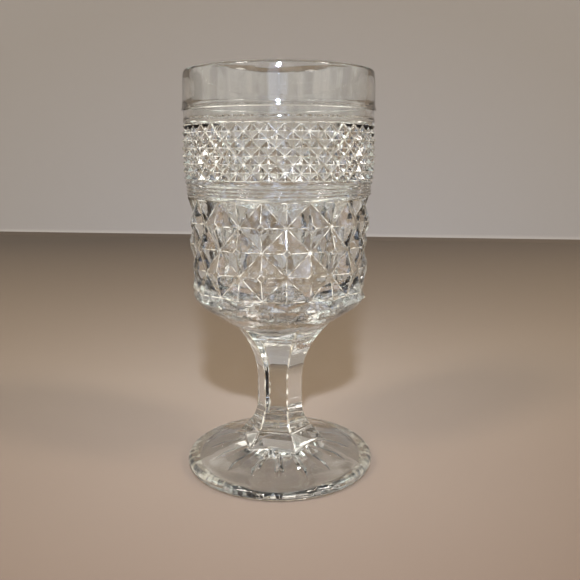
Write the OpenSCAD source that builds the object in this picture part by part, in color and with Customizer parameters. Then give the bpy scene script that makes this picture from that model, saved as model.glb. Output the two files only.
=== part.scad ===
// Pressed glass water goblet: a bowl, a six-sided stem and a round foot, each
// fused to the next at a flat seat. The table is z = 0 and the axis is Z.
// The middle of one large diamond faces -Y.

/* [Foot] */
// Radius of the foot at its widest
foot_r = 41; // [38:0.5:46]
// Height of the foot, from the table to its seat under the stem
foot_h = 17.5; // [15.5:0.5:21]
// Thickness of the foot's rounded rim
foot_rim_t = 5; // [4:0.5:6]
// Height of the round dome
dome_h = 12.4; // [11.5:0.1:13.5]
// Radius at which the dome reaches its height
dome_top_r = 16; // [15:0.5:17]
// Width of the flat ring that the foot rests on
rest_ring_w = 3.6; // [2:0.2:5]
// Rise of the hollow under the foot
hollow_h = 5.2; // [4:0.2:6]
// Rays cut into the hollow
ray_count = 16; // [8:1:20]
// Distance from the axis to the inner end of a ray
ray_start_r = 12.5; // [11:0.5:15]
// Distance from the axis to the point of a ray
ray_end_r = 29.5; // [26:0.5:31]
// Width of a ray at its widest
ray_w = 4; // [2:0.1:5]
// Depth of a ray at its deepest
ray_depth = 1.6; // [0.8:0.1:2.2]
// Turn of the rays against the diamonds, in degrees
ray_turn = -5; // [-11:1:11]

/* [Stem] */
// Flat panels round the stem
panel_count = 6; // [5:1:8]
// Height of the stem between its two seats
stem_h = 42.5; // [34:0.5:56]
// Distance from the axis to the middle of a panel, at the waist
waist_flat_r = 8.7; // [7.5:0.1:10]
// Distance from the axis to the middle of a panel, at the lower seat
lower_seat_flat_r = 12.3; // [11.5:0.1:13.5]
// Distance from the axis to the middle of a panel, at the upper seat
upper_seat_flat_r = 15.8; // [15.2:0.1:16.8]
// Height of the waist over the lower seat
waist_low_h = 12; // [9:0.5:14]
// Length of the straight waist
waist_len = 8.5; // [5:0.5:12]
// Width of the flat that blunts each edge of the stem
stem_edge_w = 0.9; // [0.4:0.1:1.6]

/* [Bowl] */
// Outer radius of the bowl's plain wall, from which the radii of its bands are set off
bowl_r = 39.1; // [37:0.1:42]

/* [Base of the bowl] */
// Height of the base, from its seat on the stem to the widest part of the bowl
base_h = 20; // [18:0.5:22]
// Length by which the top of the base is set in from the plain wall
base_set_in = 2.1; // [1.7:0.1:2.5]
// Radius of the round shoulder under the bowl
shoulder_r = 9.5; // [8.5:0.1:10.5]
// Angle through which the shoulder turns before the base runs straight
shoulder_angle = 56; // [52:1:58]
// Thickness of the glass on the axis, from the seat to the inside
bottom_t = 13; // [10:0.5:15]

/* [Large diamonds] */
// Large diamonds in a row round the bowl
large_count = 12; // [10:1:15]
// Height of one large diamond
large_h = 18.8; // [16:0.2:21]
// Length by which the top of the large diamonds is set in from the plain wall
large_set_in = 0.9; // [0.7:0.1:1.3]
// Depth at which the grooves cross, under the top of the base
large_groove_depth = 1.8; // [1.2:0.1:2.1]
// Length cut off each point of a large diamond
large_point_cut = 0.6; // [0.2:0.1:1]
// Height over which the grooves run out under the band
large_lead_h = 3.5; // [2.5:0.1:4.5]

/* [Fine diamonds] */
// Fine diamonds in a row round the bowl
fine_count = 39; // [30:1:45]
// Rows of half diamonds in the fine band
fine_rows = 7; // [4:1:9]
// Height of one fine diamond
fine_h = 6; // [5:0.1:7]
// Length by which the fine diamonds stand out from the plain wall, at the edges of their band
fine_stand = 0.3; // [0.1:0.1:0.9]
// Depth at which the grooves between the fine diamonds cross
fine_groove_depth = 2; // [1.6:0.1:2.3]
// Bulge of the fine band at half its height
fine_bulge = 0.5; // [0:0.1:0.9]
// Turn of the fine diamonds against the large ones, in degrees
fine_turn = -1.3; // [-4.5:0.1:4.5]

/* [Rings and lip] */
// Height of the ringed band between the large and the fine diamonds
ring_band_h = 7.9; // [7:0.1:10]
// Length by which the rings are set in from the plain wall
ring_set_in = 0.7; // [0.4:0.1:0.8]
// Rings in the ringed band
ring_count = 3; // [1:1:4]
// Height of one ring
ring_h = 1.3; // [0.8:0.1:1.5]
// Depth of the grooves that part the rings
ring_depth = 0.5; // [0.2:0.1:0.7]
// Length by which the roll over the rings stands out from them
roll_stand = 0.4; // [0:0.1:0.7]
// Height of the plain collar over the fine diamonds
collar_h = 5.8; // [4:0.2:9]
// Depth of the neck between the collar's foot and the lip band
neck_depth = 0.2; // [0:0.05:0.5]
// Height of the lip band
lip_band_h = 15.7; // [12:0.1:20]
// Length by which the lower edge of the lip band stands out
lip_flare = 0.65; // [0.3:0.05:0.9]
// Length by which the lip draws in at its top
lip_taper = 0.5; // [0:0.1:1]
// Thickness of the glass at the lip
lip_t = 2.6; // [1.6:0.1:3]

/* [Inside of the bowl] */
// Thickness of the glass where the round bottom starts, up to the points of the large diamonds
low_wall_t = 5.2; // [4.4:0.1:6.4]
// Height of the round bottom of the inside
inner_bottom_h = 14; // [10:0.5:18]

/* [Hidden] */

// Overrun of a cut past a face, and depth to which a band is let into its neighbour
cut_over = 1;
let_in = 0.4;

// Height over which the fine grooves run out, and the large ones at their top
fine_lead_h = 0.3;
large_top_lead_h = 1.2;

// Height of the roll at the collar's foot, and the share of it at which the roll is widest
collar_roll_h = 2.8;
roll_peak_share = 0.55;

// Length to which the panels run on past each seat, inside the round glass
flare_under_h = 7.5;
flare_over_h = 6.5;

// Sides of a round, and steps in a curve and in an arc
round_fn = 180;
curve_steps = 12;
arc_steps = 8;
roll_steps = 6;

// Powers of the curves
dome_power = 1.15;
hollow_power = 2.4;
lower_flare_power = 2.6;
upper_flare_power = 2.2;
lip_flare_power = 8;
lip_taper_power = 4;

// The glass, as the photograph shows it
glass_colour = [0.84, 0.89, 0.87, 0.55];

// Levels
stem_z = foot_h;
bowl_z = stem_z + stem_h;
large_z = bowl_z + base_h;
large_top_z = large_z + 2 * large_h;
fine_z = large_top_z + ring_band_h;
fine_top_z = fine_z + fine_rows * fine_h / 2;
ledge_z = fine_top_z + collar_h;
goblet_h = ledge_z + lip_band_h;

// Radii of the bowl
bowl_low_r = bowl_r - base_set_in;
bowl_mid_r = bowl_r - large_set_in;
large_valley_r = bowl_low_r - large_groove_depth;
fine_r = bowl_r + fine_stand;
fine_valley_r = fine_r - fine_groove_depth;
ring_band_r = bowl_r - ring_set_in;
ring_groove_r = ring_band_r - ring_depth;
lip_r = bowl_r - lip_taper;
inner_low_r = bowl_low_r - low_wall_t;

// A point at an angle from -Y, turning towards +X
function around(a, r, z) = [r * sin(a), -r * cos(a), z];

// Caps that close a stack of rings, each of n points
function cap_faces(rings, n) = [
    [for (i = [0 : n - 1]) i],
    [for (i = [n - 1 : -1 : 0]) (rings - 1) * n + i]
];

// Two triangles between four neighbours on two rings, split from one corner or the other
function split_faces(a, b, c, d, from_a) =
    from_a ? [[a, d, c], [a, c, b]] : [[a, d, b], [b, d, c]];

// Sides of a stack of rings. Where odd is set, the split alternates from cell to cell.
function side_faces(rings, n, odd) = [
    for (k = [0 : rings - 2], i = [0 : n - 1])
        let (j = (i + 1) % n)
        each split_faces(
            k * n + i, k * n + j, (k + 1) * n + j, (k + 1) * n + i,
            is_undef(odd) || (i + k) % 2 == odd
        )
];

// Panels

half_panel = 180 / panel_count;

// Height over the lower seat at which the upper flare starts
upper_flare_h = waist_low_h + waist_len;
lower_flare = lower_seat_flat_r - waist_flat_r;
upper_flare = upper_seat_flat_r - waist_flat_r;

// Distance from the axis to a panel's middle, at a height over the lower seat.
// Under that seat the flare runs on straight, and over the upper seat it curves on.
function panel_r(h) =
    h < 0
        ? lower_seat_flat_r - h * lower_flare * lower_flare_power / waist_low_h
        : h < waist_low_h
            ? waist_flat_r + lower_flare * pow(1 - h / waist_low_h, lower_flare_power)
            : h < upper_flare_h
                ? waist_flat_r
                : waist_flat_r + upper_flare
                    * pow((h - upper_flare_h) / (stem_h - upper_flare_h), upper_flare_power);

// Section of the stem at a height over the lower seat, with blunted edges.
// The first edge stands under a groove crossing, half a large diamond from -Y.
first_edge = 180 / large_count;
function panel_ring(h) =
    let (
        flat_r = panel_r(h),
        corner_x = flat_r * tan(half_panel) - stem_edge_w / 2,
        turn = atan(corner_x / flat_r)
    )
    [for (k = [0 : panel_count - 1], s = [-1, 1])
        around(
            first_edge + half_panel + k * 2 * half_panel + s * turn,
            flat_r / cos(turn),
            stem_z + h
        )];

module panelled(heights) {
    polyhedron(
        points = [for (h = heights, p = panel_ring(h)) p],
        faces = concat(
            cap_faces(len(heights), 2 * panel_count),
            side_faces(len(heights), 2 * panel_count)
        ),
        convexity = 4
    );
}

// Foot

ring_outer_r = foot_r - foot_rim_t / 2;
ring_inner_r = ring_outer_r - rest_ring_w;

function dome_z(r) = foot_rim_t + (dome_h - foot_rim_t)
    * pow((ring_outer_r - r) / (ring_outer_r - dome_top_r), dome_power);

function hollow_z(r) = hollow_h * (1 - pow(r / ring_inner_r, hollow_power));

module foot_section() {
    polygon(concat(
        [for (k = [0 : curve_steps])
            let (r = ring_inner_r * k / curve_steps)
            [r, hollow_z(r)]],
        [for (k = [0 : arc_steps])
            let (a = 180 * k / arc_steps - 90)
            [ring_outer_r + foot_rim_t / 2 * cos(a), foot_rim_t / 2 * (1 + sin(a))]],
        [for (k = [1 : curve_steps])
            let (r = ring_outer_r + (dome_top_r - ring_outer_r) * k / curve_steps)
            [r, dome_z(r)]],
        [[0, dome_h]]
    ));
}

// Places along a ray, with its width and depth there, as shares of its whole length,
// its widest and its deepest
ray_place_shares = [0, 0.3, 0.72, 1];
ray_width_shares = [0.35, 0.75, 1, 0.05];
ray_depth_shares = [0.3, 0.8, 1, 0.05];

module ray() {
    sections = [for (k = [0 : len(ray_place_shares) - 1])
        let (
            r = ray_start_r + (ray_end_r - ray_start_r) * ray_place_shares[k],
            depth = ray_depth * ray_depth_shares[k],
            half_w = ray_w / 2 * ray_width_shares[k] * (depth + cut_over) / depth
        )
        [
            [-half_w, -r, hollow_z(r) - cut_over],
            [half_w, -r, hollow_z(r) - cut_over],
            [0, -r, hollow_z(r) + depth]
        ]];
    polyhedron(
        points = [for (s = sections, p = s) p],
        faces = concat(cap_faces(len(sections), 3), side_faces(len(sections), 3)),
        convexity = 4
    );
}

module foot() {
    color(glass_colour)
        difference() {
            union() {
                rotate_extrude($fn = round_fn) foot_section();
                panelled([-flare_under_h, 0]);
            }
            for (k = [0 : ray_count - 1])
                rotate([0, 0, ray_turn + k * 360 / ray_count]) ray();
        }
}

// Stem

module stem() {
    color(glass_colour)
        panelled(concat(
            [for (k = [0 : curve_steps]) waist_low_h * k / curve_steps],
            [for (k = [0 : curve_steps])
                upper_flare_h + (stem_h - upper_flare_h) * k / curve_steps]
        ));
}

// Base of the bowl

// Outline of the round base: a straight slope, then the shoulder's arc
shoulder_x = bowl_low_r - shoulder_r;
function shoulder_point(a) = [shoulder_x + shoulder_r * cos(a), large_z - shoulder_r * sin(a)];
slope_end = shoulder_point(shoulder_angle);
base_seat_r = slope_end[0] - (slope_end[1] - bowl_z) * tan(shoulder_angle);
lead_angle = asin(large_lead_h / shoulder_r);

module base_section() {
    polygon(concat(
        [[0, bowl_z], [base_seat_r, bowl_z]],
        [for (k = [0 : arc_steps])
            shoulder_point(shoulder_angle + (lead_angle - shoulder_angle) * k / arc_steps)],
        [[0, large_z - large_lead_h]]
    ));
}

// The stem's panels run on up the base until the round glass covers them
module base() {
    rotate_extrude($fn = round_fn) base_section();
    panelled([for (k = [0 : arc_steps]) stem_h + flare_over_h * k / arc_steps]);
}

// Bands of diamonds

// A solid band whose rings of points alternate between peaks and groove crossings.
// The grooves run along the splits, from crossing to crossing.
module diamonds(count, turn, levels, peaks, valleys) {
    polyhedron(
        points = [for (k = [0 : len(levels) - 1], i = [0 : 2 * count - 1])
            around(turn + i * 180 / count, (i + k) % 2 == 1 ? peaks[k] : valleys[k], levels[k])],
        faces = concat(
            cap_faces(len(levels), 2 * count),
            side_faces(len(levels), 2 * count, 0)
        ),
        convexity = 10
    );
}

large_rows = 4;
large_row_h = large_h / 2;
large_lead_r = shoulder_point(lead_angle)[0] - let_in;
large_rise = (bowl_mid_r - bowl_low_r) / (2 * large_h);
function large_outer_r(z) = bowl_low_r + (z - large_z) * large_rise;

module large_band() {
    row_zs = [for (k = [0 : large_rows]) large_z + k * large_row_h];
    top_z = large_top_z + large_top_lead_h + let_in;
    top_r = ring_groove_r - let_in;
    levels = concat([large_z - large_lead_h - let_in], row_zs, [top_z]);
    peaks = [for (z = row_zs) large_outer_r(z) + large_point_cut];
    valleys = [for (z = row_zs) large_valley_r];
    intersection() {
        diamonds(
            large_count, 0, levels,
            concat([large_lead_r], peaks, [top_r]),
            concat([large_lead_r], valleys, [top_r])
        );
        rotate_extrude($fn = round_fn)
            polygon([
                [0, levels[0] - cut_over],
                [large_outer_r(large_z), levels[0] - cut_over],
                [large_outer_r(large_z), large_z],
                [bowl_mid_r, large_top_z],
                [bowl_mid_r, top_z],
                [0, top_z]
            ]);
    }
}

module fine_band() {
    row_zs = [for (k = [0 : fine_rows]) fine_z + k * fine_h / 2];
    bulges = [for (k = [0 : fine_rows]) fine_bulge * sin(180 * k / fine_rows)];
    end_r = ring_band_r - let_in;
    diamonds(
        fine_count,
        fine_turn,
        concat([fine_z - fine_lead_h - let_in], row_zs, [fine_top_z + fine_lead_h + let_in]),
        concat([end_r], [for (b = bulges) fine_r + b], [end_r]),
        concat([end_r], [for (b = bulges) fine_valley_r + b], [end_r])
    );
}

// Ringed band and upper wall

module ringed_band() {
    low_z = large_top_z + large_top_lead_h;
    roll_z = low_z + ring_count * ring_h;
    top_z = fine_z - fine_lead_h;
    rotate_extrude($fn = round_fn)
        polygon(concat(
            [[0, low_z]],
            [for (k = [0 : ring_count * roll_steps])
                [
                    ring_groove_r + ring_depth * abs(sin(180 * k / roll_steps)),
                    low_z + ring_h * k / roll_steps
                ]],
            [for (k = [1 : roll_steps])
                [
                    ring_groove_r + (ring_depth + roll_stand) * sin(180 * k / roll_steps),
                    roll_z + (top_z - roll_z) * k / roll_steps
                ]],
            [[0, top_z]]
        ));
}

// Outer radius of the collar at a share of its roll's height: out to the plain wall's
// radius, then in to the neck
function collar_r(share) = share < roll_peak_share
    ? ring_band_r + ring_set_in * sin(90 * share / roll_peak_share)
    : bowl_r - neck_depth * (1 - cos(180 * (share - roll_peak_share) / (1 - roll_peak_share))) / 2;

// Outer radius of the lip band at a share of its height
function lip_wall_r(share) = bowl_r + lip_flare * pow(1 - share, lip_flare_power)
    - lip_taper * pow(share, lip_taper_power);

module upper_wall() {
    low_z = fine_top_z + fine_lead_h;
    round_z = goblet_h - lip_t / 2;
    rotate_extrude($fn = round_fn)
        polygon(concat(
            [[0, low_z]],
            [for (k = [0 : curve_steps])
                [collar_r(k / curve_steps), low_z + collar_roll_h * k / curve_steps]],
            [[bowl_r - neck_depth, ledge_z]],
            [for (k = [0 : curve_steps])
                [lip_wall_r(k / curve_steps), ledge_z + (round_z - ledge_z) * k / curve_steps]],
            [for (k = [1 : arc_steps])
                let (a = 90 * k / arc_steps)
                [lip_r - lip_t / 2 * (1 - cos(a)), round_z + lip_t / 2 * sin(a)]],
            [[0, goblet_h]]
        ));
}

// Inside of the bowl: a round bottom, a straight taper and half of the lip's rounding

module inside() {
    floor_z = bowl_z + bottom_t;
    round_z = goblet_h - lip_t / 2;
    rotate_extrude($fn = round_fn)
        polygon(concat(
            [for (k = [0 : curve_steps])
                let (a = 90 * k / curve_steps)
                [inner_low_r * sin(a), floor_z + inner_bottom_h * (1 - cos(a))]],
            [for (k = [0 : arc_steps])
                let (a = 90 * k / arc_steps)
                [lip_r - lip_t / 2 * (1 + cos(a)), round_z + lip_t / 2 * sin(a)]],
            [
                [lip_r - lip_t / 2, goblet_h + cut_over],
                [0, goblet_h + cut_over]
            ]
        ));
}

module bowl() {
    color(glass_colour)
        difference() {
            union() {
                base();
                large_band();
                ringed_band();
                fine_band();
                upper_wall();
            }
            inside();
        }
}

bowl();
stem();
foot();
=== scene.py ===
import math

import bmesh
import bpy
import mathutils
import numpy as np
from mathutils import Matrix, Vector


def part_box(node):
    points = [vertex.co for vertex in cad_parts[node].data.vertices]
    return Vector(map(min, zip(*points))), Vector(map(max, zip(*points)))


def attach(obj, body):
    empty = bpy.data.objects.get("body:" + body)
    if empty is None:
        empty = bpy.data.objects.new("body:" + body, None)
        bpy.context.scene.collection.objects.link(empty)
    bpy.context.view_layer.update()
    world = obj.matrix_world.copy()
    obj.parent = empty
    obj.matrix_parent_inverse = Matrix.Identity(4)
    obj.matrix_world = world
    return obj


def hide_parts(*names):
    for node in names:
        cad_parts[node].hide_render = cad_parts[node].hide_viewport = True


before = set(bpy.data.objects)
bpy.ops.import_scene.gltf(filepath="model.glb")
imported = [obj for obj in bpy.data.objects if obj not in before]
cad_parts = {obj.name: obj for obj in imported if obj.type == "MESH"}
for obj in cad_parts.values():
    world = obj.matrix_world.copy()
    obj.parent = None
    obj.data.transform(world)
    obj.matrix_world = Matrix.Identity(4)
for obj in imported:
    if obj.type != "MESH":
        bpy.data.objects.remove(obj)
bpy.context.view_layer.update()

# A water goblet of pressed glass on a plain pale floor. Sizes of the goblet are in millimetres and
# angles in degrees. A mesh is brought to metres when it is made a piece.
MM = 0.001

# Columns of points round each piece. The stem's edges, the diamonds' points and the rays fall on them.
BOWL_COLUMNS = 312
STEM_COLUMNS = 312
FOOT_COLUMNS = 480

# Distance within which points are merged, length below which an edge is dissolved, and size that
# counts as nothing
MERGE_DIST = 0.002
SLIVER_DIST = 0.0005
TINY = 0.001

# A seat's points are laid out within SEAT_SPAN, as shares of its six-sided outline, and the points
# of the side above or below it at SIDE_MARK_R, until they are brought to the piece's shape.
SEAT_SPAN = 16
SIDE_MARK_R = 20
SEAT_RS = (0, 4, 8, 12)
BOWL_SEAT_RS = (0, 3.75, 7.5, 11.25, 15)

# Places of the seam and of the worn glass, whose pale colour is partly painted highlight, in a
# piece's list of finishes, after the clear glass
SEAM_SLOT = 1
WORN_AND_HIGHLIGHT_SLOT = 2

# Levels
BASE_H = 20
SEAT_LOW_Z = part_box("stem")[0].z / MM
SEAT_HIGH_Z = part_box("stem")[1].z / MM
TOP_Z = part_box("bowl")[1].z / MM
LARGE_Z = SEAT_HIGH_Z + BASE_H

# Foot. The stem's panels run out on its dome up to FLARE_END_R.
FOOT_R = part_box("foot")[1].x / MM
RIM_T = 5
REST_RING_W = 3.6
RING_OUTER_R = FOOT_R - RIM_T / 2
RING_INNER_R = RING_OUTER_R - REST_RING_W
FLARE_END_R = 25
FLARE_BLEND = 0.5
DOME_H = 12.4
DOME_TOP_R = 16
DOME_POWER = 1.15
HOLLOW_H = 5.2
HOLLOW_POWER = 2.4

# Rays in the foot's hollow. At their start they have RAY_START_SHARE of their width and depth, and
# finer rows of points reach RAY_MARGIN past their ends.
RAY_COUNT = 16
RAY_START_R = 12.5
RAY_START_SHARE = 0.3
RAY_START_RUN = 0.8
RAY_WIDEST_R = 24.5
RAY_END_R = 29.5
RAY_MARGIN = 0.5
RAY_W = 4
RAY_DEPTH = 1.6
RAY_TURN = -5.25

# The foot is scuffed up to this height, where it rests. Its pale scuffed glass also paints light over
# the rim's dark outline.
SCUFF_AND_HIGHLIGHT_H = 1

# Stem
PANELS = 6
EDGE_TURN = 15
WAIST_FLAT_R = 8.7
LOW_FLAT_R = 12.3
HIGH_FLAT_R = 15.8
WAIST_LOW_H = 12
WAIST_LEN = 8.5
LOWER_FLARE_POWER = 2.6
UPPER_FLARE_POWER = 2.2
STEM_H = SEAT_HIGH_Z - SEAT_LOW_Z
EDGE_ROUNDING = 0.8

# Columns on each side of a panel's edge that are worn and given a painted highlight line, and share
# of z in a normal from which a face counts as level
EDGE_WEAR_AND_HIGHLIGHT_COLUMNS = 2
LEVEL_NORMAL_Z = 0.9

# Base of the bowl, and the plain wall's radius, from which the radii of its bands are set off
BOWL_R = 39.1
BOWL_LOW_R = BOWL_R - 2.1
SHOULDER_R = 9.5
SHOULDER_ANGLE = 56
BOTTOM_T = 13
BASE_BLEND = 0.8
BASE_FLARE_H = 7

# Rounding of the diamonds' ridges and grooves, which are the folds over CREASE_ANGLE
CREASE_ANGLE = 6
CREASE_SEGMENTS = 3

# Large diamonds. Their points stand LARGE_POINT_CUT higher before they are cut to tables.
LARGE_COUNT = 12
LARGE_ROWS = 4
LARGE_ROW_H = 9.4
BOWL_MID_R = BOWL_R - 0.9
LARGE_VALLEY_R = BOWL_LOW_R - 1.8
LARGE_POINT_CUT = 0.6
LARGE_TABLE = 1.65
LARGE_EDGE = 0.5
LARGE_LEAD_H = 3.5
LARGE_TOP_LEAD_H = 1.2
LARGE_TOP_Z = LARGE_Z + LARGE_ROWS * LARGE_ROW_H

# Fine diamonds
FINE_COUNT = 39
FINE_ROWS = 7
FINE_ROW_H = 3
FINE_R = BOWL_R + 0.3
FINE_VALLEY_R = FINE_R - 2
FINE_BULGE = 0.5
FINE_EDGE = 0.3
FINE_LEAD_H = 0.3
FINE_Z = LARGE_TOP_Z + 7.9
FINE_TOP_Z = FINE_Z + FINE_ROWS * FINE_ROW_H

# Rings and lip
RING_BAND_R = BOWL_R - 0.7
RING_COUNT = 3
RING_H = 1.3
RING_DEPTH = 0.5
RING_GROOVE_R = RING_BAND_R - RING_DEPTH
ROLL_STAND = 0.4
COLLAR_ROLL_H = 2.8
COLLAR_PEAK_SHARE = 0.55
NECK_R = BOWL_R - 0.2
LEDGE_Z = FINE_TOP_Z + 5.8
LEDGE_ROUNDING = 0.3
LIP_FLARE = 0.65
LIP_FLARE_POWER = 8
LIP_FLARE_SHARE = 0.3
LIP_TAPER = 0.5
LIP_TAPER_POWER = 4
LIP_R = BOWL_R - LIP_TAPER
LIP_T = 2.6
LIP_ROUND_Z = TOP_Z - LIP_T / 2

# Inside of the bowl: a plain cup with a round bottom
FLOOR_Z = SEAT_HIGH_Z + BOTTOM_T
LOW_WALL_T = 5.2
INNER_LOW_R = BOWL_LOW_R - LOW_WALL_T
INNER_BOTTOM_H = 14


def smooth_min(a, b, reach):
    """The lesser of two sizes, rounded where they come within reach of each other."""
    near = np.maximum(reach - np.abs(a - b), 0) / reach
    return np.minimum(a, b) - near * near * reach / 4


def smooth_max(a, b, reach):
    """The greater of two sizes, rounded in the same way."""
    return -smooth_min(-a, -b, reach)


def steps(start, end, count):
    """Values from start to end, without start itself."""
    return [start + (end - start) * k / count for k in range(1, count + 1)]


# Shapes of the three pieces

def panel_r(h):
    """Distance from the axis to a panel's middle, at a height over the lower seat."""
    if h < WAIST_LOW_H:
        return WAIST_FLAT_R + (LOW_FLAT_R - WAIST_FLAT_R) * (1 - h / WAIST_LOW_H) ** LOWER_FLARE_POWER
    start = WAIST_LOW_H + WAIST_LEN
    if h < start:
        return WAIST_FLAT_R
    rise = ((h - start) / (STEM_H - start)) ** UPPER_FLARE_POWER
    return WAIST_FLAT_R + (HIGH_FLAT_R - WAIST_FLAT_R) * rise


def panelled_r(flat_r, angle):
    """Radius of the six-sided section at an angle in degrees from -Y, with rounded edges."""
    width = 360 / PANELS
    off = np.abs((angle - EDGE_TURN) % width - width / 2)
    own = flat_r / np.cos(np.radians(off))
    beside = flat_r / np.cos(np.radians(width - off))
    return smooth_min(own, beside, EDGE_ROUNDING)


def shoulder_point(angle):
    """Radius and height on the round shoulder, at an angle in degrees down from its top."""
    turn = math.radians(angle)
    return (
        BOWL_LOW_R - SHOULDER_R * (1 - math.cos(turn)),
        LARGE_Z - SHOULDER_R * math.sin(turn),
    )


def round_base_r(z):
    """Outer radius of the bowl's round base."""
    end_r, end_z = shoulder_point(SHOULDER_ANGLE)
    if z < end_z:
        return end_r - (end_z - z) * math.tan(math.radians(SHOULDER_ANGLE))
    return BOWL_LOW_R - SHOULDER_R * (1 - math.sqrt(1 - ((LARGE_Z - z) / SHOULDER_R) ** 2))


def side_r(z, angle):
    """The stem's panels, which run on up the base until the round glass covers them."""
    return smooth_max(round_base_r(z), panelled_r(panel_r(z - SEAT_LOW_Z), angle), BASE_BLEND)


def dome_z(r):
    """Height of the foot's dome."""
    return RIM_T + (DOME_H - RIM_T) * ((RING_OUTER_R - r) / (RING_OUTER_R - DOME_TOP_R)) ** DOME_POWER


def flare_z(r, angle):
    """Height of the panels where they run out on the foot."""
    slope = (LOW_FLAT_R - WAIST_FLAT_R) * LOWER_FLARE_POWER / WAIST_LOW_H
    flat_r = LOW_FLAT_R * r / panelled_r(LOW_FLAT_R, angle)
    return SEAT_LOW_Z - (flat_r - LOW_FLAT_R) / slope


def hollow_z(r):
    """Height of the hollow under the foot, without its rays."""
    return HOLLOW_H * (1 - (r / RING_INNER_R) ** HOLLOW_POWER)


def ray_depth(r, angle):
    """Depth of the rays in the hollow: they widen and deepen outwards, then end in a point."""
    width = 360 / RAY_COUNT
    off = np.abs((angle - RAY_TURN + width / 2) % width - width / 2)
    across = r * np.sin(np.radians(off))
    grow = np.clip((r - RAY_START_R) / (RAY_WIDEST_R - RAY_START_R), 0, 1)
    fade = np.clip((RAY_END_R - r) / (RAY_END_R - RAY_WIDEST_R), 0, 1)
    start = np.clip((r - RAY_START_R) / RAY_START_RUN, 0, 1)
    share = np.minimum(RAY_START_SHARE + (1 - RAY_START_SHARE) * grow, fade) * start
    half_w = np.maximum(RAY_W / 2 * share, TINY)
    return RAY_DEPTH * share * np.clip(1 - across / half_w, 0, 1)


# Mesh building

def faces_of(verts):
    """The faces that touch some points, each of them once."""
    return list(dict.fromkeys(f for v in verts for f in v.link_faces))


def seat_and_side(r, z, angle):
    """Brings the points of a seat and of the side to the outline at their level."""
    side = np.array([side_r(level, a) for level, a in zip(z, angle)])
    return np.where(r > SEAT_SPAN, side, r / SEAT_SPAN * side), z


def wear_and_highlight_panel_edges(verts):
    """Gives the worn glass, whose pale colour paints highlight lines, to the narrow faces on both
    sides of the edges between panels.
    The seats and the round glass over the panels are left as they are."""
    width = 360 / PANELS
    reach = EDGE_WEAR_AND_HIGHLIGHT_COLUMNS * 360 / STEM_COLUMNS
    for f in faces_of(verts):
        f.normal_update()
        x, y, z = f.calc_center_median()
        angle = math.degrees(math.atan2(x, -y))
        off = abs((angle - EDGE_TURN + width / 2) % width - width / 2)
        on_side = abs(f.normal.z) < LEVEL_NORMAL_Z
        on_panel = math.hypot(x, y) > round_base_r(z) + BASE_BLEND / 2
        if off < reach and on_side and on_panel:
            f.material_index = WORN_AND_HIGHLIGHT_SLOT


def turned(bm, outline, columns):
    """Wraps a grid once round the axis, so that its rows follow an outline of (radius, height)."""
    last = len(outline) - 1
    verts = bmesh.ops.create_grid(bm, x_segments=columns, y_segments=last, size=1)["verts"]
    for v in verts:
        turn = math.pi * v.co.x
        r, z = outline[round((v.co.y + 1) / 2 * last)]
        v.co = r * math.sin(turn), -r * math.cos(turn), z
    return verts


def reshape(verts, shape):
    """Moves points to the (radius, height) that a shape gives for their radius, height and angle."""
    co = np.array([v.co for v in verts], float)
    r = np.hypot(co[:, 0], co[:, 1])
    angle = np.degrees(np.arctan2(co[:, 0], -co[:, 1])) % 360
    new_r, new_z = shape(r, co[:, 2], angle)
    turn = np.radians(angle)
    for v, x, y, z in zip(verts, new_r * np.sin(turn), -new_r * np.cos(turn), new_z):
        v.co = x, y, z


def make_piece(bm, name, seams):
    """Closes the mesh, marks the faces on the seams, brings it to metres and makes the piece."""
    bmesh.ops.remove_doubles(bm, verts=bm.verts, dist=MERGE_DIST)
    bmesh.ops.dissolve_degenerate(bm, dist=SLIVER_DIST, edges=bm.edges)
    bmesh.ops.triangulate(bm, faces=[f for f in bm.faces if len(f.verts) > 4])
    bmesh.ops.recalc_face_normals(bm, faces=bm.faces)
    for f in bm.faces:
        f.smooth = True
        if any(all(abs(v.co.z - z) < TINY for v in f.verts) for z in seams):
            f.material_index = SEAM_SLOT
    bmesh.ops.scale(bm, vec=(MM, MM, MM), verts=bm.verts)
    mesh = bpy.data.meshes.new(name)
    bm.to_mesh(mesh)
    bm.free()
    piece = bpy.data.objects.new(name, mesh)
    bpy.context.scene.collection.objects.link(piece)
    return piece


def stacked_rings(bm, segments, count):
    """Rings of points over each other, joined by four-sided faces."""
    rings = [bmesh.ops.create_circle(bm, segments=segments, radius=1)["verts"]]
    edges = list(dict.fromkeys(e for v in rings[0] for e in v.link_edges))
    for _ in range(count - 1):
        grown = bmesh.ops.extrude_edge_only(bm, edges=edges)["geom"]
        edges = [e for e in grown if isinstance(e, bmesh.types.BMEdge) and e.is_boundary]
        rings.append([v for v in grown if isinstance(v, bmesh.types.BMVert)])
        bmesh.ops.translate(bm, vec=(0, 0, 1), verts=rings[-1])
    return rings


def round_creases(bm, before, low_z, high_z, width):
    """Rounds the ridges and grooves between two levels, and gives their middle strips the worn glass,
    whose pale colour paints highlight lines along them.
    """
    creases = [
        e for e in bm.edges
        if e.verts[0] not in before
        and len(e.link_faces) == 2
        and e.calc_face_angle() > math.radians(CREASE_ANGLE)
        and all(low_z - TINY < v.co.z < high_z + TINY for v in e.verts)
    ]
    rounded = set(bmesh.ops.bevel(
        bm, geom=creases, offset=width, segments=CREASE_SEGMENTS, profile=0.5, affect="EDGES",
        material=-1, clamp_overlap=True,
    )["faces"])
    for f in rounded:
        if all(rounded.issuperset(v.link_faces) for v in f.verts):
            f.material_index = WORN_AND_HIGHLIGHT_SLOT


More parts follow.
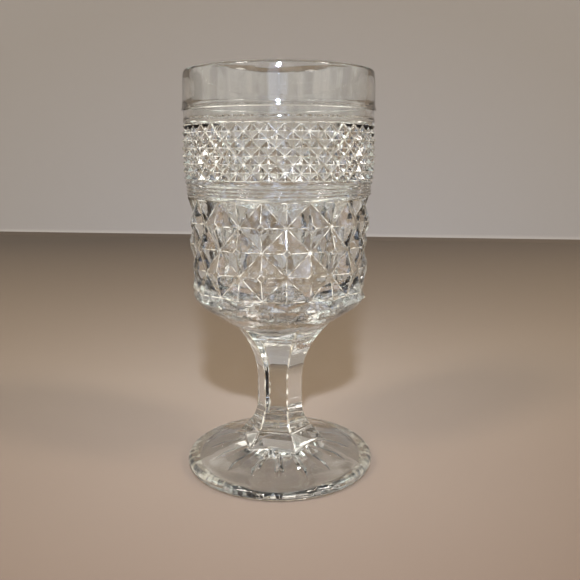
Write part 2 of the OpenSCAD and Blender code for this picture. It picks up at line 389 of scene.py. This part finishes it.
def cut_into_columns(bm, before, count, r, z):
    """Cuts a band's end ring into the bowl's columns, so that it joins the plain glass."""
    rim = [
        e for e in bm.edges
        if e.is_boundary
        and all(v not in before and abs(v.co.z - z) < TINY for v in e.verts)
    ]
    bmesh.ops.subdivide_edges(bm, edges=rim, cuts=BOWL_COLUMNS // (2 * count) - 1)
    for v in bm.verts:
        if v not in before and v.is_boundary and abs(v.co.z - z) < TINY:
            column = round(math.atan2(v.co.x, -v.co.y) / math.tau * BOWL_COLUMNS)
            turn = math.tau * column / BOWL_COLUMNS
            v.co = r * math.sin(turn), -r * math.cos(turn), z


def diamonds(bm, count, start, levels, peaks, valleys, table, edge):
    """A band whose rings of points alternate between the diamonds' peaks and the groove crossings.
    The rings lie at some levels, and each has a radius for its peaks and one for its valleys. The
    peaks are cut to small tables, where these have a size, and the edges are rounded."""
    before = set(bm.verts)
    step = 180 / count
    tips = []
    for k, ring in enumerate(stacked_rings(bm, 2 * count, len(levels))):
        for v in ring:
            i = round(math.degrees(math.atan2(v.co.x, -v.co.y)) / step) % (2 * count)
            peak = (i + k) % 2 == 1
            r = peaks[k] if peak else valleys[k]
            turn = math.radians(start + i * step)
            v.co = r * math.sin(turn), -r * math.cos(turn), levels[k]
            if peak and 1 < k < len(levels) - 2:
                tips.append(v)
    faces = faces_of([v for v in bm.verts if v not in before])
    bmesh.ops.triangulate(bm, faces=faces, quad_method="SHORT_EDGE")
    if table:
        bmesh.ops.bevel(
            bm, geom=tips, offset=table, segments=1, profile=0.5, affect="VERTICES", material=-1
        )
    round_creases(bm, before, levels[1], levels[-2], edge)
    cut_into_columns(bm, before, count, peaks[0], levels[0])
    cut_into_columns(bm, before, count, peaks[-1], levels[-1])


def large_band(bm):
    """Large diamonds, cut down to small tables at their points."""
    zs = [LARGE_Z + k * LARGE_ROW_H for k in range(LARGE_ROWS + 1)]
    rise = (BOWL_MID_R - BOWL_LOW_R) / (LARGE_TOP_Z - LARGE_Z)
    peaks = [BOWL_LOW_R + (z - LARGE_Z) * rise for z in zs]
    peaks[1:-1] = [r + LARGE_POINT_CUT for r in peaks[1:-1]]
    low_r = round_base_r(LARGE_Z - LARGE_LEAD_H)
    diamonds(
        bm, LARGE_COUNT, 0,
        [LARGE_Z - LARGE_LEAD_H] + zs + [LARGE_TOP_Z + LARGE_TOP_LEAD_H],
        [low_r] + peaks + [RING_GROOVE_R],
        [low_r] + [LARGE_VALLEY_R] * len(zs) + [RING_GROOVE_R],
        LARGE_TABLE, LARGE_EDGE,
    )


def fine_band(bm):
    """Fine pointed diamonds, on a band that bulges a little."""
    zs = [FINE_Z + k * FINE_ROW_H for k in range(FINE_ROWS + 1)]
    bulges = [FINE_BULGE * math.sin(math.pi * k / FINE_ROWS) for k in range(FINE_ROWS + 1)]
    column = 360 / BOWL_COLUMNS
    diamonds(
        bm, FINE_COUNT, -column,
        [FINE_Z - FINE_LEAD_H] + zs + [FINE_TOP_Z + FINE_LEAD_H],
        [RING_GROOVE_R] + [FINE_R + b for b in bulges] + [RING_BAND_R],
        [RING_GROOVE_R] + [FINE_VALLEY_R + b for b in bulges] + [RING_BAND_R],
        0, FINE_EDGE,
    )


def bowl_base(bm):
    """The seam disc and the round base, up to the large diamonds."""
    end_z = shoulder_point(SHOULDER_ANGLE)[1]
    disc = [(r, SEAT_HIGH_Z) for r in BOWL_SEAT_RS]
    flare_end_z = SEAT_HIGH_Z + BASE_FLARE_H
    levels = [SEAT_HIGH_Z] + steps(SEAT_HIGH_Z, flare_end_z, 16) + steps(flare_end_z, end_z, 5)
    levels += steps(end_z, LARGE_Z - LARGE_LEAD_H, 9)
    verts = turned(bm, disc + [(SIDE_MARK_R, z) for z in levels], BOWL_COLUMNS)
    reshape(verts, seat_and_side)
    wear_and_highlight_panel_edges(verts)


def ringed_band(bm):
    """Three rings, parted by grooves, and the wider roll over them."""
    low_z = LARGE_TOP_Z + LARGE_TOP_LEAD_H
    roll_z = low_z + RING_COUNT * RING_H
    top_z = FINE_Z - FINE_LEAD_H
    outline = [(RING_GROOVE_R, low_z)]
    for k in range(RING_COUNT):
        outline += [
            (RING_GROOVE_R + RING_DEPTH * math.sin(a), low_z + RING_H * (k + a / math.pi))
            for a in steps(0, math.pi, 8)
        ]
    outline += [
        (RING_GROOVE_R + (RING_DEPTH + ROLL_STAND) * math.sin(a), roll_z + (top_z - roll_z) * a / math.pi)
        for a in steps(0, math.pi, 12)
    ]
    turned(bm, outline, BOWL_COLUMNS)


def collar_r(share):
    """Radius of the collar's roll, which swells from the fine diamonds and runs in to the neck."""
    if share < COLLAR_PEAK_SHARE:
        return RING_BAND_R + (BOWL_R - RING_BAND_R) * math.sin(math.pi / 2 * share / COLLAR_PEAK_SHARE)
    fall = math.pi * (share - COLLAR_PEAK_SHARE) / (1 - COLLAR_PEAK_SHARE)
    return BOWL_R - (BOWL_R - NECK_R) * (1 - math.cos(fall)) / 2


def lip_wall_r(share):
    """Radius of the lip band, which flares at its lower edge and draws in at its top."""
    return BOWL_R + LIP_FLARE * (1 - share) ** LIP_FLARE_POWER - LIP_TAPER * share ** LIP_TAPER_POWER


def upper_wall(bm):
    """Collar, ledge and lip band outside, the round lip, and the whole inside of the bowl."""
    low_z = FINE_TOP_Z + FINE_LEAD_H
    lip_h = LIP_ROUND_Z - LEDGE_Z
    edge_share = LEDGE_ROUNDING / lip_h
    edge_r = lip_wall_r(edge_share)
    lip_shares = steps(edge_share, LIP_FLARE_SHARE, 14) + steps(LIP_FLARE_SHARE, 1, 12)
    inner_r = LIP_R - LIP_T
    inner_z = FLOOR_Z + INNER_BOTTOM_H
    outline = [(RING_BAND_R, low_z)]
    outline += [(collar_r(t), low_z + COLLAR_ROLL_H * t) for t in steps(0, 1, 20)]
    outline.append((NECK_R, LEDGE_Z - LEDGE_ROUNDING))
    outline += [
        (NECK_R + LEDGE_ROUNDING * (1 - math.cos(a)), LEDGE_Z - LEDGE_ROUNDING * (1 - math.sin(a)))
        for a in steps(0, math.pi / 2, 4)
    ]
    outline += [
        (edge_r - LEDGE_ROUNDING * (1 - math.sin(a)), LEDGE_Z + LEDGE_ROUNDING * (1 - math.cos(a)))
        for a in steps(0, math.pi / 2, 4)
    ]
    outline += [(lip_wall_r(t), LEDGE_Z + lip_h * t) for t in lip_shares]
    outline += [
        (LIP_R - LIP_T / 2 * (1 - math.cos(a)), LIP_ROUND_Z + LIP_T / 2 * math.sin(a))
        for a in steps(0, math.pi, 20)
    ]
    outline += [
        (inner_r + (INNER_LOW_R - inner_r) * t, LIP_ROUND_Z + (inner_z - LIP_ROUND_Z) * t)
        for t in steps(0, 1, 12)
    ]
    outline += [
        (INNER_LOW_R * math.cos(a), inner_z - INNER_BOTTOM_H * math.sin(a))
        for a in steps(0, math.pi / 2, 28)
    ]
    turned(bm, outline, BOWL_COLUMNS)


def make_bowl():
    """The bowl, from the seam with the stem up to the lip and down its inside."""
    bm = bmesh.new()
    bowl_base(bm)
    large_band(bm)
    ringed_band(bm)
    fine_band(bm)
    upper_wall(bm)
    return make_piece(bm, "pressed_bowl", [SEAT_HIGH_Z])


def make_stem():
    """The solid six-sided column, which flares at both ends."""
    bm = bmesh.new()
    waist_top = WAIST_LOW_H + WAIST_LEN
    heights = [0] + steps(0, WAIST_LOW_H, 16) + steps(WAIST_LOW_H, waist_top, 3)
    heights += steps(waist_top, STEM_H, 30)
    low = [(r, SEAT_LOW_Z) for r in SEAT_RS]
    side = [(SIDE_MARK_R, SEAT_LOW_Z + h) for h in heights]
    high = [(r, SEAT_HIGH_Z) for r in reversed(SEAT_RS)]
    verts = turned(bm, low + side + high, STEM_COLUMNS)
    reshape(verts, seat_and_side)
    wear_and_highlight_panel_edges(verts)
    return make_piece(bm, "pressed_stem", [SEAT_LOW_Z, SEAT_HIGH_Z])


def make_foot():
    """The round foot: its seat, the panels that run out on the dome, the rim and the rayed hollow.
    The points of the top lie on six-sided outlines by the seat and on circles further out."""
    bm = bmesh.new()
    top_mark_z = SEAT_LOW_Z - 1
    ray_zone_r = RAY_END_R + RAY_MARGIN
    under_rs = [RING_INNER_R] + steps(RING_INNER_R, ray_zone_r, 6)
    under_rs += steps(ray_zone_r, RAY_START_R, 40) + steps(RAY_START_R, 0, 8)
    outline = [(r, SEAT_LOW_Z) for r in SEAT_RS]
    outline += [(r, top_mark_z) for r in [SEAT_SPAN] + steps(SEAT_SPAN, FLARE_END_R, 32)]
    outline += [(r, dome_z(r)) for r in steps(FLARE_END_R, RING_OUTER_R, 10)]
    outline += [
        (RING_OUTER_R + RIM_T / 2 * math.sin(a), RIM_T / 2 * (1 + math.cos(a)))
        for a in steps(0, math.pi, 20)
    ]
    outline += [(r, hollow_z(r)) for r in under_rs]
    verts = turned(bm, outline, FOOT_COLUMNS)

    def shape(r, z, angle):
        seat_r = panelled_r(LOW_FLAT_R, angle)
        out = np.clip((r - SEAT_SPAN) / (FLARE_END_R - SEAT_SPAN), 0, 1)
        top_r = seat_r + (FLARE_END_R - seat_r) * out
        top_z = smooth_max(flare_z(top_r, angle), dome_z(top_r), FLARE_BLEND)
        top_z = np.where(out < TINY, SEAT_LOW_Z, top_z)
        on_seat = z > top_mark_z + TINY
        on_top = np.abs(z - top_mark_z) < TINY
        in_hollow = (z < HOLLOW_H + TINY) & (r < RING_INNER_R - TINY)
        new_r = np.where(on_top, top_r, np.where(on_seat, r / SEAT_SPAN * seat_r, r))
        new_z = np.where(on_top, top_z, np.where(in_hollow, z + ray_depth(r, angle), z))
        return new_r, new_z

    reshape(verts, shape)
    # The resting ring gets the worn glass: real scuffing, whose pale colour also paints light over the
    # rim's dark outline
    for f in faces_of(verts):
        x, y, z = f.calc_center_median()
        if z < SCUFF_AND_HIGHLIGHT_H and math.hypot(x, y) > RING_INNER_R:
            f.material_index = WORN_AND_HIGHLIGHT_SLOT
    return make_piece(bm, "pressed_foot", [SEAT_LOW_Z])


# Materials

GLASS_IOR = 1.52

# Marks of pressing, as widths, heights and levels in millimetres. The slow ripple has its real
# width. The chill wrinkles are about a millimetre apart on real glass, and 2.5 mm here, as finer
# ones don't show. The plain wall over the fine diamonds and the stem are smoother than the rest.
RIPPLE_W = 6
RIPPLE_H = 0.2
WRINKLE_W = 2.5
WRINKLE_H = 0.015
UPPER_WALL_SHARE = 0.12
UPPER_WALL_FADE_H = 2
STEM_SHARE = 0.25
STEM_FADE_H = 12

# Round this level the base, which chilled first in the mould, has stronger wrinkles.
CHILLED_Z = 70
CHILLED_H = 10
CHILLED_FADE_H = 18
CHILLED_GAIN = 6

# Haze on the wrinkles, partly real and partly painted sparkle that lightens the darks: its greatest
# share, and the noise from which it starts and at which it is full
HAZE_AND_SPARKLE = 0.06
HAZE_AND_SPARKLE_FROM = 0.5
HAZE_AND_SPARKLE_FULL = 0.75

# Wear of the edges and of the resting ring, partly real scuffing and partly painted highlight: width
# of its patches, the noise from which it starts and at which it is full, and the share of clear glass
# before and after
WEAR_AND_HIGHLIGHT_W = 3
WEAR_AND_HIGHLIGHT_FROM = 0.42
WEAR_AND_HIGHLIGHT_FULL = 0.65
UNMARKED_CLEAR = 0.95
WORN_AND_HIGHLIGHT_CLEAR = 0.4

# Sockets of a colour mix: share of the second colour, the two colours, and the result
MIX_SHARE = 0
MIX_FIRST = 6
MIX_SECOND = 7
MIX_RESULT = 2


def linear(code):
    """A colour of the shader, from its sRGB hex code."""
    channels = [int(code[i:i + 2], 16) / 255 for i in (1, 3, 5)]
    return [c / 12.92 if c <= 0.04045 else ((c + 0.055) / 1.055) ** 2.4 for c in channels] + [1]


def add_node(tree, kind, settings=None, links=None):
    """Adds a node with its properties or socket values set, and links from other nodes' sockets.
    A socket is named, or has a number where others share its name."""
    node = tree.nodes.new(kind)
    for key, value in (settings or {}).items():
        if isinstance(key, int) or key in node.inputs:
            node.inputs[key].default_value = value
        else:
            setattr(node, key, value)
    for key, source in (links or {}).items():
        tree.links.new(source, node.inputs[key])
    return node


def material(name):
    """A new material without nodes."""
    mat = bpy.data.materials.new(name)
    mat.use_nodes = True
    mat.node_tree.nodes.clear()
    return mat


def pressed_glass():
    """Pressed soda-lime glass: clear, with a faint grey-green tint. Its ripple bends what is seen
    through it, the chill wrinkles make the thick base glitter, and a trace of milky glass on the
    wrinkles, partly real and partly painted sparkle, lifts the darks."""
    mat = material("pressed_soda_lime_glass")
    tree = mat.node_tree
    place = add_node(tree, "ShaderNodeTexCoord")
    level = add_node(tree, "ShaderNodeSeparateXYZ", links={"Vector": place.outputs["Object"]})
    below_upper_wall = add_node(
        tree, "ShaderNodeMapRange",
        {
            "From Min": (FINE_TOP_Z - UPPER_WALL_FADE_H) * MM,
            "From Max": FINE_TOP_Z * MM,
            "To Min": 1.0,
            "To Max": UPPER_WALL_SHARE,
        },
        {"Value": level.outputs["Z"]},
    )
    above_stem = add_node(
        tree, "ShaderNodeMapRange",
        {
            "From Min": (SEAT_HIGH_Z - STEM_FADE_H) * MM,
            "From Max": SEAT_HIGH_Z * MM,
            "To Min": STEM_SHARE,
            "To Max": 1.0,
        },
        {"Value": level.outputs["Z"]},
    )
    marked = add_node(
        tree, "ShaderNodeMath", {"operation": "MULTIPLY"},
        {0: below_upper_wall.outputs["Result"], 1: above_stem.outputs["Result"]},
    )
    ripple = add_node(
        tree, "ShaderNodeTexNoise",
        {"Scale": 1 / (RIPPLE_W * MM), "Detail": 2.0, "Roughness": 0.5},
        {"Vector": place.outputs["Object"]},
    )
    rippled = add_node(
        tree, "ShaderNodeBump", {"Distance": RIPPLE_H * MM},
        {"Height": ripple.outputs["Fac"], "Strength": marked.outputs["Value"]},
    )
    from_chilled = add_node(
        tree, "ShaderNodeMath", {"operation": "SUBTRACT", 1: CHILLED_Z * MM}, {0: level.outputs["Z"]}
    )
    chill_distance = add_node(
        tree, "ShaderNodeMath", {"operation": "ABSOLUTE"}, {0: from_chilled.outputs["Value"]}
    )
    chill = add_node(
        tree, "ShaderNodeMapRange",
        {
            "From Min": CHILLED_H * MM,
            "From Max": CHILLED_FADE_H * MM,
            "To Min": CHILLED_GAIN,
            "To Max": 1.0,
        },
        {"Value": chill_distance.outputs["Value"]},
    )
    wrinkle_strength = add_node(
        tree, "ShaderNodeMath", {"operation": "MULTIPLY"},
        {0: chill.outputs["Result"], 1: marked.outputs["Value"]},
    )
    wrinkles = add_node(
        tree, "ShaderNodeTexNoise",
        {"Scale": 1 / (WRINKLE_W * MM), "Detail": 1.0, "Roughness": 0.5, "Distortion": 1.0},
        {"Vector": place.outputs["Object"]},
    )
    wrinkled = add_node(
        tree, "ShaderNodeBump", {"Distance": WRINKLE_H * MM},
        {
            "Height": wrinkles.outputs["Fac"],
            "Strength": wrinkle_strength.outputs["Value"],
            "Normal": rippled.outputs["Normal"],
        },
    )
    # Haze on the wrinkles, partly real and partly painted sparkle: pale patches that lift the darks
    haze_and_sparkle = add_node(
        tree, "ShaderNodeMapRange",
        {"From Min": HAZE_AND_SPARKLE_FROM, "From Max": HAZE_AND_SPARKLE_FULL, "To Min": 0.0, "To Max": HAZE_AND_SPARKLE},
        {"Value": wrinkles.outputs["Fac"]},
    )
    marked_haze_and_sparkle = add_node(
        tree, "ShaderNodeMath", {"operation": "MULTIPLY"},
        {0: haze_and_sparkle.outputs["Result"], 1: marked.outputs["Value"]},
    )
    clear = add_node(
        tree, "ShaderNodeMath", {"operation": "SUBTRACT", 0: 1.0}, {1: marked_haze_and_sparkle.outputs["Value"]}
    )
    glass = add_node(
        tree, "ShaderNodeBsdfPrincipled",
        {"Base Color": linear("#FDFFFE"), "Roughness": 0.0, "IOR": GLASS_IOR},
        {"Normal": wrinkled.outputs["Normal"], "Transmission Weight": clear.outputs["Value"]},
    )
    add_node(tree, "ShaderNodeOutputMaterial", links={"Surface": glass.outputs["BSDF"]})
    return mat


def scuffed_edge_and_highlight():
    """The same glass, dulled by the mould and by use on ridges, grooves, panel edges and the
    resting ring. Its pale colour, where the glass is not clear, is partly this scuffing and partly
    painted highlight: it gives the diamonds and the stem their thin, broken, pale lines in place of
    glints."""
    mat = material("scuffed_glass_edge_and_highlight")
    tree = mat.node_tree
    place = add_node(tree, "ShaderNodeTexCoord")
    worn_highlight_noise = add_node(
        tree, "ShaderNodeTexNoise",
        {"Scale": 1 / (WEAR_AND_HIGHLIGHT_W * MM), "Detail": 2.0, "Roughness": 0.5},
        {"Vector": place.outputs["Object"]},
    )
    clear = add_node(
        tree, "ShaderNodeMapRange",
        {
            "From Min": WEAR_AND_HIGHLIGHT_FROM,
            "From Max": WEAR_AND_HIGHLIGHT_FULL,
            "To Min": UNMARKED_CLEAR,
            "To Max": WORN_AND_HIGHLIGHT_CLEAR,
        },
        {"Value": worn_highlight_noise.outputs["Fac"]},
    )
    # Pale warm colour of the painted highlight lines, shown where the glass is not clear
    glass = add_node(
        tree, "ShaderNodeBsdfPrincipled",
        {"Base Color": linear("#DCCDB0"), "Roughness": 0.1, "IOR": GLASS_IOR},
        {"Transmission Weight": clear.outputs["Result"]},
    )
    add_node(tree, "ShaderNodeOutputMaterial", links={"Surface": glass.outputs["BSDF"]})
    return mat


def fused_seam():
    """The glass is one where two pieces are fused, so light crosses the seam unbent."""
    mat = material("fused_seam")
    tree = mat.node_tree
    clear = add_node(tree, "ShaderNodeBsdfTransparent")
    add_node(tree, "ShaderNodeOutputMaterial", links={"Surface": clear.outputs["BSDF"]})
    return mat


# Camera, where the ellipses of the rim, the bands and the foot put it, in millimetres and degrees.
# The image and its focal length are in pixels.

CAMERA_TURN = -4.3
CAMERA_DISTANCE = 288
CAMERA_H = 135.6
CAMERA_PITCH = 11.35
CAMERA_YAW = 0.9
IMAGE_PX = 580
FOCAL_PX = 681


def make_camera():
    """The camera, turned and lifted to where the photograph was taken from."""
    data = bpy.data.cameras.new("camera")
    data.sensor_width = 36
    data.lens = FOCAL_PX / IMAGE_PX * data.sensor_width
    data.clip_start = 0.01
    camera = bpy.data.objects.new("camera", data)
    turn = math.radians(CAMERA_TURN)
    camera.location = (
        CAMERA_DISTANCE * math.sin(turn) * MM,
        -CAMERA_DISTANCE * math.cos(turn) * MM,
        CAMERA_H * MM,
    )
    camera.rotation_euler = (math.radians(90 - CAMERA_PITCH), 0, turn - math.radians(CAMERA_YAW))
    bpy.context.scene.collection.objects.link(camera)
    bpy.context.scene.camera = camera


# Studio

# The room, in metres. The floor's colour grows paler from FLOOR_DARK_Y to FLOOR_PALE_Y and darker
# again towards the backdrop: painted shade and painted falloff of light.
WALL_Y = 0.8
WALL_H = 0.5
WALL_TURN = -12
ROOM_HALF_W = 2.5
COVE_R = 0.012
GROUND_Z = -0.0001
FLOOR_DARK_Y = -0.15
FLOOR_PALE_Y = 0.12
FLOOR_SLOT = 0
BACKDROP_SLOT = 1


def pale_floor_painted_shade():
    """Matt floor without gloss, whose colour is painted shade: darker in front, paler past the goblet
    and darker again at the backdrop as painted falloff of light.
    """
    mat = material("pale_floor_painted_shade")
    tree = mat.node_tree
    place = add_node(tree, "ShaderNodeTexCoord")
    depth = add_node(tree, "ShaderNodeSeparateXYZ", links={"Vector": place.outputs["Object"]})
    past = add_node(
        tree, "ShaderNodeMapRange",
        {"From Min": FLOOR_DARK_Y, "From Max": FLOOR_PALE_Y}, {"Value": depth.outputs["Y"]},
    )
    behind = add_node(
        tree, "ShaderNodeMapRange", {"From Min": 0.0, "From Max": WALL_Y}, {"Value": depth.outputs["Y"]}
    )
    # Painted shade: darker in front of the goblet, paler past it
    front = add_node(
        tree, "ShaderNodeMix",
        {"data_type": "RGBA", MIX_FIRST: linear("#6A5440"), MIX_SECOND: linear("#8A7762")},
        {MIX_SHARE: past.outputs["Result"]},
    )
    # Painted falloff of light: darker again towards the backdrop
    colour = add_node(
        tree, "ShaderNodeMix", {"data_type": "RGBA", MIX_SECOND: linear("#53483D")},
        {MIX_SHARE: behind.outputs["Result"], MIX_FIRST: front.outputs[MIX_RESULT]},
    )
    paint = add_node(
        tree, "ShaderNodeBsdfPrincipled", {"Roughness": 0.9}, {"Base Color": colour.outputs[MIX_RESULT]}
    )
    add_node(tree, "ShaderNodeOutputMaterial", links={"Surface": paint.outputs["BSDF"]})
    return mat


def pale_backdrop():
    """Matt wall paint: an even pale grey without gloss."""
    mat = material("pale_backdrop")
    tree = mat.node_tree
    paint = add_node(
        tree, "ShaderNodeBsdfPrincipled", {"Base Color": linear("#A59F99"), "Roughness": 0.9}
    )
    add_node(tree, "ShaderNodeOutputMaterial", links={"Surface": paint.outputs["BSDF"]})
    return mat


def make_room():
    """A plain pale floor and a plain backdrop, which meet behind the goblet in a small cove."""
    bm = bmesh.new()
    outline = [(-ROOM_HALF_W, GROUND_Z), (WALL_Y - COVE_R, GROUND_Z)]
    outline += [
        (WALL_Y - COVE_R + COVE_R * math.sin(a), GROUND_Z + COVE_R * (1 - math.cos(a)))
        for a in steps(0, math.pi / 2, 6)
    ]
    outline.append((WALL_Y, WALL_H))
    points = [bm.verts.new((-ROOM_HALF_W, y, z)) for y, z in outline]
    edges = [bm.edges.new(pair) for pair in zip(points, points[1:])]
    grown = bmesh.ops.extrude_edge_only(bm, edges=edges)["geom"]
    moved = [v for v in grown if isinstance(v, bmesh.types.BMVert)]
    bmesh.ops.translate(bm, vec=(2 * ROOM_HALF_W, 0, 0), verts=moved)
    bmesh.ops.recalc_face_normals(bm, faces=bm.faces)
    wall_turn = mathutils.Matrix.Rotation(math.radians(WALL_TURN), 3, "Z")
    bmesh.ops.rotate(bm, cent=(0, 0, 0), matrix=wall_turn, verts=bm.verts)
    for f in bm.faces:
        f.smooth = True
        on_backdrop = f.calc_center_median().z > COVE_R / 2
        f.material_index = BACKDROP_SLOT if on_backdrop else FLOOR_SLOT
    mesh = bpy.data.meshes.new("floor")
    bm.to_mesh(mesh)
    bm.free()
    room = bpy.data.objects.new("floor", mesh)
    room.data.materials.append(pale_floor_painted_shade())
    room.data.materials.append(pale_backdrop())
    bpy.context.scene.collection.objects.link(room)


# The key light, in metres. It is small and near like a flash, behind and over the camera. It throws
# the shadow behind the stem and makes the small glints on the front.
KEY_RISE = 30
KEY_DISTANCE = 0.42
KEY_AIM_H = 0.08
KEY_W = 0.022
KEY_H = 0.016
KEY_SPREAD = 70
KEY_POWER = 0.9


def make_key_light():
    """An area light that faces the middle of the goblet."""
    data = bpy.data.lights.new("key", "AREA")
    data.shape = "RECTANGLE"
    data.size = KEY_W
    data.size_y = KEY_H
    data.spread = math.radians(KEY_SPREAD)
    data.energy = KEY_POWER
    data.color = linear("#C8DCFF")[:3]
    light = bpy.data.objects.new("key", data)
    turn = math.radians(CAMERA_TURN)
    rise = math.radians(KEY_RISE)
    light.location = (
        KEY_DISTANCE * math.cos(rise) * math.sin(turn),
        -KEY_DISTANCE * math.cos(rise) * math.cos(turn),
        KEY_DISTANCE * math.sin(rise) + KEY_AIM_H,
    )
    light.rotation_euler = (math.pi / 2 - rise, 0, turn)
    bpy.context.scene.collection.objects.link(light)


# Blurred clutter of the surroundings: its scale, the noise between which it turns from dark to lit,
# and the brightness of both
CLUTTER_SCALE = 4.0
CLUTTER_FROM = 0.43
CLUTTER_FULL = 0.6
CLUTTER_DARK = 0.25
CLUTTER_LIT = 1.5

# The dim ceiling: its brightness, and the sine of the rise from which it starts and at which it is full
CEILING = 0.35
CEILING_FROM = 0.6
CEILING_FULL = 0.9

# Patches of the surroundings: turn from the camera's side, rise, half width and half height in degrees,
# share of the patch that its soft edge takes, colour and brightness
PATCHES = (
    (112, 6, 16, 8, 0.3, "#FFE0C0", 0.03),
    (-112, 6, 16, 8, 0.3, "#FFE0C0", 0.03),
    (-6, 12, 8, 14, 0.4, "#D0E0FF", 2.8),
    (-56, 12, 10, 16, 0.6, "#FFF6EC", 1.6),
    (56, 12, 10, 16, 0.6, "#FFF6EC", 1.6),
    (-52, 42, 7, 12, 0.4, "#FFF8F0", 24.0),
    (64, 42, 7, 12, 0.4, "#FFF8F0", 24.0),
    (-90, 32, 10, 10, 0.4, "#F0FFF4", 4.0),
    (94, 32, 10, 10, 0.4, "#F0FFF4", 4.0),
    (-150, 16, 14, 12, 0.6, "#F4FFF0", 1.6),
    (150, 16, 14, 12, 0.6, "#F4FFF0", 1.6),
)


def radiance(code, strength):
    """A colour of the surroundings, from its sRGB hex code and its brightness."""
    return [c * strength for c in linear(code)[:3]] + [1]


def make_world():
    """The surroundings that the glass mirrors and bends: clutter, a dim ceiling and the patches."""
    world = bpy.data.worlds.new("studio")
    world.use_nodes = True
    tree = world.node_tree
    tree.nodes.clear()
    direction = add_node(tree, "ShaderNodeTexCoord").outputs["Generated"]
    height = add_node(tree, "ShaderNodeSeparateXYZ", links={"Vector": direction}).outputs["Z"]
    clutter = add_node(
        tree, "ShaderNodeTexNoise", {"Scale": CLUTTER_SCALE, "Detail": 2.0, "Roughness": 0.5},
        {"Vector": direction},
    )
    lit = add_node(
        tree, "ShaderNodeMapRange",
        {"interpolation_type": "SMOOTHSTEP", "From Min": CLUTTER_FROM, "From Max": CLUTTER_FULL},
        {"Value": clutter.outputs["Fac"]},
    )
    horizon = add_node(
        tree, "ShaderNodeMix",
        {
            "data_type": "RGBA",
            MIX_FIRST: radiance("#FFF6E8", CLUTTER_DARK),
            MIX_SECOND: radiance("#FFF6E8", CLUTTER_LIT),
        },
        {MIX_SHARE: lit.outputs["Result"]},
    )
    up = add_node(
        tree, "ShaderNodeMapRange",
        {"interpolation_type": "SMOOTHSTEP", "From Min": CEILING_FROM, "From Max": CEILING_FULL},
        {"Value": height},
    )
    colour = add_node(
        tree, "ShaderNodeMix", {"data_type": "RGBA", MIX_SECOND: radiance("#FFFAF2", CEILING)},
        {MIX_SHARE: up.outputs["Result"], MIX_FIRST: horizon.outputs[MIX_RESULT]},
    )
    for turn, rise, half_w, half_h, edge, code, strength in PATCHES:
        side = math.radians(turn + CAMERA_TURN)
        up_angle = math.radians(rise)
        reach = math.cos(up_angle)
        local = add_node(
            tree, "ShaderNodeMapping",
            {
                "vector_type": "TEXTURE",
                "Location": (reach * math.sin(side), -reach * math.cos(side), math.sin(up_angle)),
                "Rotation": (up_angle, 0, side + math.pi),
                "Scale": (math.radians(half_w), 1, math.radians(half_h)),
            },
            {"Vector": direction},
        )
        off = add_node(
            tree, "ShaderNodeVectorMath", {"operation": "LENGTH"}, {"Vector": local.outputs["Vector"]}
        )
        inside = add_node(
            tree, "ShaderNodeMapRange",
            {"interpolation_type": "SMOOTHSTEP", "From Min": 1, "From Max": 1 - edge},
            {"Value": off.outputs["Value"]},
        )
        colour = add_node(
            tree, "ShaderNodeMix", {"data_type": "RGBA", MIX_SECOND: radiance(code, strength)},
            {MIX_SHARE: inside.outputs["Result"], MIX_FIRST: colour.outputs[MIX_RESULT]},
        )
    sky = add_node(tree, "ShaderNodeBackground", links={"Color": colour.outputs[MIX_RESULT]})
    add_node(tree, "ShaderNodeOutputWorld", links={"Surface": sky.outputs["Background"]})
    bpy.context.scene.world = world


# The goblet and its scene

# Light passes many facets of the two walls before it leaves the glass.
GLASS_BOUNCES = 48

finishes = (pressed_glass(), fused_seam(), scuffed_edge_and_highlight())
for piece, node in ((make_bowl(), "bowl"), (make_stem(), "stem"), (make_foot(), "foot")):
    for glass_finish in finishes:
        piece.data.materials.append(glass_finish)
    normals = piece.modifiers.new("facet_normals", "WEIGHTED_NORMAL")
    normals.weight = 100
    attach(piece, "root")
    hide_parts(node)

scene = bpy.context.scene
scene.view_settings.view_transform = "Standard"
scene.cycles.max_bounces = GLASS_BOUNCES
scene.cycles.transmission_bounces = GLASS_BOUNCES
make_camera()
make_room()
make_world()
make_key_light()
